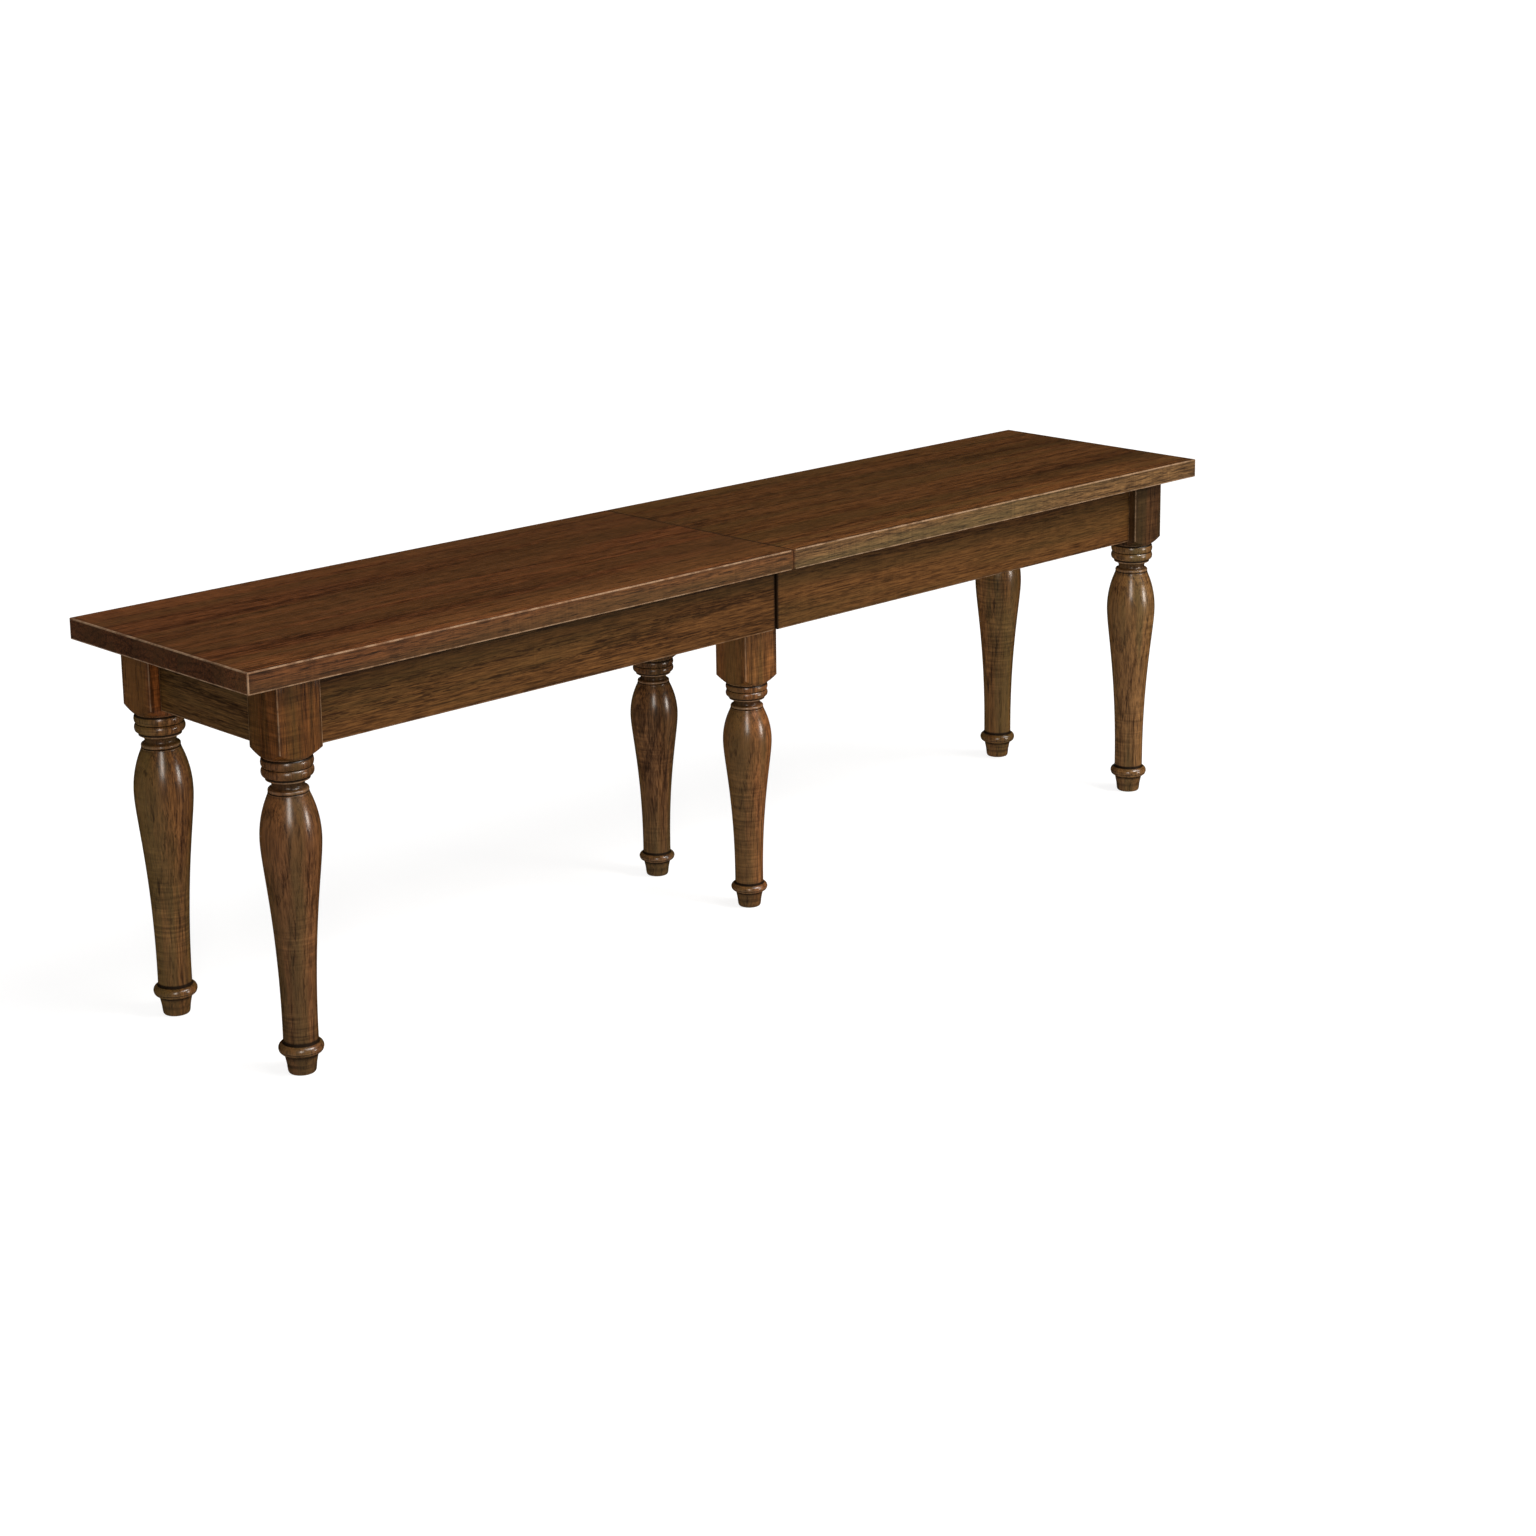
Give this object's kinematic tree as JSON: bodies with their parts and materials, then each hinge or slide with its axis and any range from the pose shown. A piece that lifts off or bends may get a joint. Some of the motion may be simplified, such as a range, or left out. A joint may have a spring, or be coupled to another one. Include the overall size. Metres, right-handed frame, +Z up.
{
  "type": "extending bench",
  "caption": "Long dining bench on turned legs. The seat parts in the middle and its halves slide out on geared wooden slides from a centre frame with its own legs.",
  "frame": {"origin": "on the floor under the middle of the bench, centre of the footprint with the seat closed", "axes": "+X along the bench, +Y from front to back, +Z up"},
  "size_m": [1.524, 0.334, 0.4572],
  "materials": {
    "seat_wood": "dark brown stained oak, satin lacquer",
    "apron_wood": "dark brown stained oak, satin lacquer",
    "leg_wood": "olive brown stained hardwood with a dark glaze in the grooves, semi-gloss",
    "plain_wood": "plain sanded maple, waxed",
    "steel": "zinc plated, dull"
  },
  "bodies": {
    "centre_frame": {"leg_front_centre": "leg_wood", "leg_rear_centre": "leg_wood", "centre_bolster": "plain_wood", "centre_rail_front": "plain_wood", "centre_rail_rear": "plain_wood", "pinion_axle_front": "steel", "pinion_axle_rear": "steel"},
    "left_half": {"seat_top_left": "seat_wood", "apron_end_left": "apron_wood", "apron_front_left": "apron_wood", "apron_rear_left": "apron_wood", "leg_front_left": "leg_wood", "leg_rear_left": "leg_wood", "corner_brace_front_left": "plain_wood", "corner_brace_rear_left": "plain_wood", "hanger_bolt_front_left": "steel", "hanger_bolt_rear_left": "steel", "hanger_nut_front_left": "steel", "hanger_nut_rear_left": "steel", "slide_rail_left_front": "plain_wood", "slide_rail_left_rear": "plain_wood", "rack_left_front": "steel", "rack_left_rear": "steel", "lock_base_front": "steel", "lock_base_rear": "steel", "alignment_dowel_1": "plain_wood", "alignment_dowel_2": "plain_wood", "alignment_dowel_3": "plain_wood"},
    "right_half": {"seat_top_right": "seat_wood", "apron_end_right": "apron_wood", "apron_front_right": "apron_wood", "apron_rear_right": "apron_wood", "leg_front_right": "leg_wood", "leg_rear_right": "leg_wood", "corner_brace_front_right": "plain_wood", "corner_brace_rear_right": "plain_wood", "hanger_bolt_front_right": "steel", "hanger_bolt_rear_right": "steel", "hanger_nut_front_right": "steel", "hanger_nut_rear_right": "steel", "slide_rail_right_front": "plain_wood", "slide_rail_right_rear": "plain_wood", "rack_right_front": "steel", "rack_right_rear": "steel", "lock_strike_front": "steel", "lock_strike_rear": "steel"},
    "front_pinion": {"pinion_front": "steel"},
    "rear_pinion": {"pinion_rear": "steel"},
    "front_lock_lever": {"lock_lever_front": "steel"},
    "rear_lock_lever": {"lock_lever_rear": "steel"}
  },
  "joints": [
    {"name": "left_half_slide", "type": "slide", "parent": "centre_frame", "child": "left_half", "axis": [-1, 0, 0], "range_m": [0, 0.6096]},
    {"name": "right_half_slide", "type": "slide", "parent": "centre_frame", "child": "right_half", "axis": [1, 0, 0], "range_m": [0, 0.6096]},
    {"name": "front_pinion_turn", "type": "hinge", "parent": "centre_frame", "child": "front_pinion", "pos_m": [0, -0.05199, 0.42081], "axis": [0, 0, 1], "range_deg": [-1747, 0]},
    {"name": "rear_pinion_turn", "type": "hinge", "parent": "centre_frame", "child": "rear_pinion", "pos_m": [0, 0.05199, 0.42081], "axis": [0, 0, 1], "range_deg": [0, 1747]},
    {"name": "front_lock_swing", "type": "hinge", "parent": "left_half", "child": "front_lock_lever", "pos_m": [-0.02, -0.11245, 0.4114], "axis": [0, -1, 0], "range_deg": [0, 90]},
    {"name": "rear_lock_swing", "type": "hinge", "parent": "left_half", "child": "rear_lock_lever", "pos_m": [-0.02, 0.11245, 0.4114], "axis": [0, -1, 0], "range_deg": [0, 90]}
  ],
  "couplings": [
    {"joint": "right_half_slide", "follows": "left_half_slide", "ratio": 1},
    {"joint": "front_pinion_turn", "follows": "left_half_slide", "rad_per_m": -50},
    {"joint": "rear_pinion_turn", "follows": "left_half_slide", "rad_per_m": 50}
  ]
}
